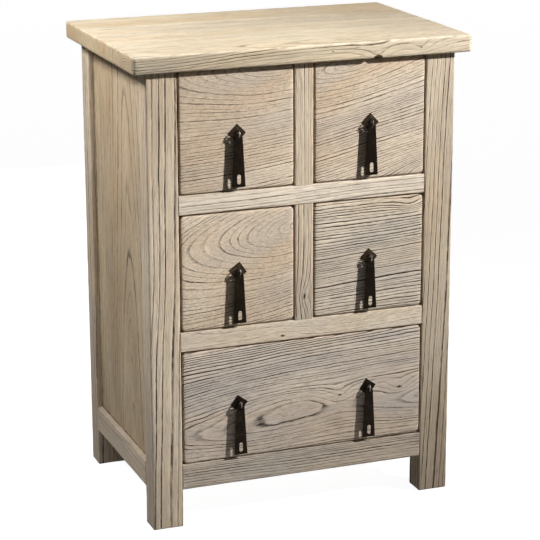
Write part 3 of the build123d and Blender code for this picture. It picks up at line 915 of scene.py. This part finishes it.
def framed(node_name, low, high, cells, length, face=None, loose=None):
    """A board of the frame between two corners, rounded along its length where it shows at a face."""
    rounds, knock = [], seated_knock
    if face:
        axis, place = face
        rounds = [(lambda edge: along(length, edge) and on_plane(axis, edge, place), rail_round, 3)]
        knock = eased_knock
    board = worn_board(node_name + "_timber", low, high, rounds, cells, frame_margin, reach=0.006,
                       knock=knock, unevenness=0.0007, length=length, loose=loose)
    finish_piece(board, node_name)


for rail_name in ["front_bottom_rail", "front_lower_rail", "front_upper_rail"]:
    low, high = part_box(rail_name)
    low.x, high.x = left_post_high.x, right_post_low.x
    framed(rail_name, low, high, rail_cells, 0, (1, low.y), loose=lambda point: point.z < high.z - touch)
for stile_name, below, above in [("middle_stile", "front_lower_rail", "front_upper_rail"),
                                 ("upper_stile", "front_upper_rail", "top_board_front")]:
    low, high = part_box(stile_name)
    low.z, high.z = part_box(below)[1].z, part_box(above)[0].z
    framed(stile_name, low, high, stile_cells, 2, (1, low.y))
for side in ["left", "right"]:
    panel_low, panel_high = panel_opening(side)
    low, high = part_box(side + "_side_rail")
    low.y, high.y = panel_low.y, panel_high.y
    framed(side + "_side_rail", low, high, rail_cells, 1, (0, low.x if side == "left" else high.x))
    framed(side + "_side_panel", panel_low, panel_high, panel_cells, 2)
print("Framed the front and the ends")

# %% [markdown]
# A drawer front is a thick slab with round corners and a soft rim. Its dovetail sockets could be modelled
# one by one, but the drawer's sides in the frame already have the tails. So copies of the sides and the
# bottom are cut out of the slab, as a joiner marks the sockets from the tails.

# %% Drawer fronts
crown_above_eye = 0.0003
shank_hole = 0.0022
corner_round, rim_round = 0.0075, 0.0032
front_cells, front_margin, worn_depth = (0.011, 0.1, 0.011), 0.009, 0.006
socket_spread, drill_depth = 0.001, 0.06


def cutter_from(node_name, spread):
    """A merged copy of a piece of the frame, its outer ends spread apart so that it cuts right through."""
    cutter = bpy.data.objects.new(node_name + "_cutter", frame["nodes"][node_name].data.copy())
    bpy.context.scene.collection.objects.link(cutter)
    pick(cutter)
    bpy.ops.object.mode_set(mode="EDIT")
    bpy.ops.mesh.select_all(action="SELECT")
    bpy.ops.mesh.remove_doubles(threshold=1e-6)
    bpy.ops.object.mode_set(mode="OBJECT")
    low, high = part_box(node_name)
    for point in cutter.data.vertices:
        if abs(point.co.x - low.x) < touch:
            point.co.x -= spread
        elif abs(point.co.x - high.x) < touch:
            point.co.x += spread
    return cutter


def pull_place(drop_name):
    """The place of a pull's eye as seen from the front."""
    low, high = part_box(drop_name)
    return Vector(((low.x + high.x) / 2, 0.0, high.z - crown_above_eye))


for drawer in drawer_names:
    node_name = drawer + "_front"
    low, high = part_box(node_name)
    rounds = [(lambda edge: along(1, edge), corner_round, 5),
              (lambda edge: on_plane(1, edge, low.y), rim_round, 4)]
    slab = worn_board(node_name + "_timber", low, high, rounds, front_cells, front_margin, reach=0.007,
                      unevenness=0.0010, loose=lambda point: point.y < low.y + worn_depth)
    combine(slab, cutter_from(drawer + "_sides", socket_spread), "DIFFERENCE")
    combine(slab, cutter_from(drawer + "_bottom", 0.0), "DIFFERENCE")
    for drop_name in [drop_name for drop_name, owner in drawer_of_drop.items() if owner == drawer]:
        pull = pull_place(drop_name)
        drill(slab, pull.x, (low.y + high.y) / 2, pull.z, shank_hole, drill_depth)
    finish_piece(slab, node_name)
print("Hung", len(drawer_names), "drawer fronts")

# %% [markdown]
# The pulls are forged from strip. A drop starts as a slab. Its neck is tapered and drawn into a crown, and
# its face is inset and raised, as if the rim had been beaten down. A hole takes the eye. The slot at the
# foot is punched hot from the front, so its cutter is a cone, and it breaks out wider at the back.

# %% Iron drops
hammer_marks = clouds("hammer_marks", 0.006)
drop_marks, plate_marks = 0.00025, 0.0002
crown_width, crown_height = 0.006, 0.0048
shoulder_width = 0.014
rim_width, rim_drop, back_ease = 0.0026, 0.0006, 0.0003
drop_cells, drop_margin = (0.0030, 0.1, 0.0035), 0.0008
eye_hole, eye_below_crown = 0.00325, 0.00655
slot_radius, slot_length, slot_above_foot = 0.0032, 0.0165, 0.005
slot_flare, punch_margin = 0.0014, 0.001


def select_points(piece, wanted):
    """Select the points of a piece in edit mode, judged by where they are, and the faces between them."""
    bpy.ops.mesh.select_mode(type="VERT")
    bpy.ops.mesh.select_all(action="DESELECT")
    mesh = bmesh.from_edit_mesh(piece.data)
    for point in mesh.verts:
        point.select_set(wanted(point.co))
    mesh.select_flush(True)
    bmesh.update_edit_mesh(piece.data)


def hammer(piece, depth):
    """Leave shallow hammer marks all over a piece."""
    everywhere = piece.vertex_groups.new(name="everywhere")
    everywhere.add([point.index for point in piece.data.vertices], 1.0, "REPLACE")
    displace(piece, "everywhere", hammer_marks, depth, 0.5)
    piece.vertex_groups.clear()


def punch_slot(piece, place, thickness):
    """Punch a round-ended slot along Y, up from a place, that breaks out wider at the back."""
    slope = slot_flare / thickness
    bpy.ops.mesh.primitive_cone_add(vertices=round_sides, depth=thickness + 2 * punch_margin,
                                    radius1=slot_radius + slope * (thickness + punch_margin),
                                    radius2=slot_radius - slope * punch_margin,
                                    location=place, rotation=(math.pi / 2, 0.0, 0.0))
    tool = bpy.context.object
    bpy.ops.object.transform_apply()
    bpy.ops.object.mode_set(mode="EDIT")
    select_points(tool, lambda point: point.z > place[2] + slot_radius / 10)
    bpy.ops.transform.translate(value=(0.0, 0.0, slot_length - 2 * slot_radius))
    bpy.ops.object.mode_set(mode="OBJECT")
    combine(piece, tool, "DIFFERENCE")


for drop_name in drawer_of_drop:
    low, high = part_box(drop_name)
    middle = (low + high) / 2
    shoulder = high.z - crown_height
    drop = start_block(drop_name + "_forged", Vector((low.x, low.y + rim_drop, low.z)),
                       Vector((high.x, high.y, shoulder)))
    bpy.ops.object.mode_set(mode="EDIT")
    select_points(drop, lambda point: point.z > shoulder - touch)
    bpy.ops.transform.resize(value=(shoulder_width / (high.x - low.x), 1.0, 1.0),
                             center_override=(middle.x, middle.y, shoulder))
    bpy.ops.mesh.extrude_region_move(TRANSFORM_OT_translate={"value": (0.0, 0.0, crown_height)})
    bpy.ops.transform.resize(value=(crown_width / shoulder_width, 1.0, 1.0),
                             center_override=(middle.x, middle.y, high.z))
    select_points(drop, lambda point: point.y < low.y + rim_drop + touch)
    bpy.ops.mesh.select_mode(type="FACE")
    bpy.ops.mesh.inset(thickness=rim_width, depth=rim_drop, use_boundary=True, use_even_offset=True)
    bpy.ops.object.mode_set(mode="OBJECT")
    round_edges(drop, lambda edge: on_plane(1, edge, high.y), back_ease, 2)
    slice_up(drop, low, high, drop_cells, drop_margin)
    hammer(drop, drop_marks)
    drill(drop, middle.x, middle.y, high.z - eye_below_crown, eye_hole)
    punch_slot(drop, (middle.x, middle.y, low.z + slot_above_foot + slot_radius), high.y - low.y)
    finish_piece(drop, drop_name)
print("Forged", len(drawer_of_drop), "drops")

# %% [markdown]
# Behind each eye sits a square plate, set on its corner by eye and none too straight. It is made square to
# the axes, where slices are easy, and then turned as its node is. Its rim is bevelled by an inset, and two
# more let its middle swell a little under the hammer.

# %% Iron plates
plate_side, plate_base, plate_swell = 0.0223, 0.0009, 0.0003
plate_insets = (0.0009, 0.0028, 0.0040)
plate_cells, plate_margin = (0.0025, 1.0, 0.0025), 0.0012
plate_low = Vector((-plate_side / 2, -plate_base, -plate_side / 2))
plate_high = Vector((plate_side / 2, 0.0, plate_side / 2))
for drop_name, drawer in drawer_of_drop.items():
    node_name = drawer + "_plate"
    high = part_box(node_name)[1]
    centre = pull_place(drop_name)
    points = [point.co for point in frame["nodes"][node_name].data.vertices]
    offsets = [Vector((point.x, 0.0, point.z)) - centre for point in points]
    corner = max((offset for offset in offsets if offset.length < plate_side), key=lambda spot: spot.length)
    plate = start_block(drop_name.replace("_drop", "_plate") + "_forged", plate_low, plate_high)
    bpy.ops.object.mode_set(mode="EDIT")
    select_points(plate, lambda point: point.y < touch - plate_base)
    bpy.ops.mesh.select_mode(type="FACE")
    for width in plate_insets:
        bpy.ops.mesh.inset(thickness=width, depth=plate_swell, use_even_offset=True)
    bpy.ops.object.mode_set(mode="OBJECT")
    slice_up(plate, plate_low, plate_high, plate_cells, plate_margin)
    hammer(plate, plate_marks)
    plate.rotation_euler = (0.0, math.atan2(corner.x, corner.z) + math.pi / 4, 0.0)
    plate.location = (centre.x, high.y, centre.z)
    bpy.ops.object.transform_apply()
    drill(plate, centre.x, high.y, centre.z, shank_hole)
    finish_piece(plate, node_name)
print("Forged", len(drawer_of_drop), "plates")

# %% [markdown]
# A split staple carries each drop: a ring for an eye, a round shank through plate and front, and two legs
# that are bent over inside the drawer. A bevelled curve could follow the bent wire, but its ends and its
# split would stay open, so a torus and round bars are fused into one closed mesh.

# %% Iron staples
eye_radius, eye_wire, eye_reach = 0.0055, 0.0012, 0.0065
shank_radius, leg_length, leg_split = 0.002, 0.013, 0.0004
for drop_name, drawer in drawer_of_drop.items():
    node_name = drawer + "_staple"
    low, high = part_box(node_name)
    x, _, z = pull_place(drop_name)
    ring_y, inner_face = low.y + eye_reach, high.y - shank_radius
    bpy.ops.mesh.primitive_torus_add(location=(x, ring_y, z), rotation=(0.0, math.pi / 2, 0.0),
                                     major_segments=48, minor_segments=16, major_radius=eye_radius,
                                     minor_radius=eye_wire)
    eye = bpy.context.object
    eye.name = drop_name.replace("_drop", "_staple") + "_forged"
    bpy.ops.object.transform_apply()

    # Two half-round legs lie flat on the inside of the front, with the split between them
    legs = round_bar("legs", (x, inner_face, z), shank_radius, 2 * leg_length, 0.0)
    front_half = start_block("front_half", Vector((x - clear, inner_face - clear, z - 2 * clear)),
                             Vector((x + clear, inner_face, z + 2 * clear)))
    combine(legs, front_half, "DIFFERENCE")
    split = start_block("split", Vector((x - clear, inner_face - clear, z - leg_split / 2)),
                        Vector((x + clear, inner_face + clear, z + leg_split / 2)))
    combine(legs, split, "DIFFERENCE")

    shank_front = ring_y + eye_radius
    shank_middle = (x, (shank_front + inner_face) / 2, z)
    shank = round_bar("shank", shank_middle, shank_radius, inner_face - shank_front, math.pi / 2)
    combine(eye, shank, "UNION")
    combine(eye, legs, "UNION")
    finish_piece(eye, node_name)
print("Bent", len(drawer_of_drop), "staples")

# %% [markdown]
# Four boards stand side by side in the rebates and close the back. They are one node in the frame, but four
# blocks here, so that each is cut from another place in the tree. Their edges are chamfered, and a hair
# of room between them lets the timber swell.

# %% Back boards
board_gap, board_chamfer = 0.0006, 0.0015
back_cells, back_margin = (0.014, 0.1, 0.014), 0.004
heart_offsets = (0.030, -0.080, 0.010, 0.110)
heart_behind = 0.07
board_count = len(heart_offsets)
board_width = (back_high.x - back_low.x - (board_count - 1) * board_gap) / board_count
for index, offset in enumerate(heart_offsets):
    low, high = back_low.copy(), back_high.copy()
    low.x = back_low.x + index * (board_width + board_gap)
    high.x = low.x + board_width
    rounds = [(lambda edge: along(2, edge) and on_plane(1, edge, high.y), board_chamfer, 1)]
    board = worn_board("back_board_%d_timber" % (index + 1), low, high, rounds, back_cells, back_margin,
                       reach=0.004, knock=0.0004, unevenness=0.0006, length=2)
    upright_elm("back_boards", (low.x + high.x) / 2 + offset, high.y + heart_behind, 0.02 * (-1) ** index,
                0.05, 0.2 + 0.15 * index, seed=101.0 + 4.0 * index, outline=(low, high), edge=0.5,
                **back_tones)
    finish_piece(board, "back_boards")
print("Closed the back with", board_count, "boards")
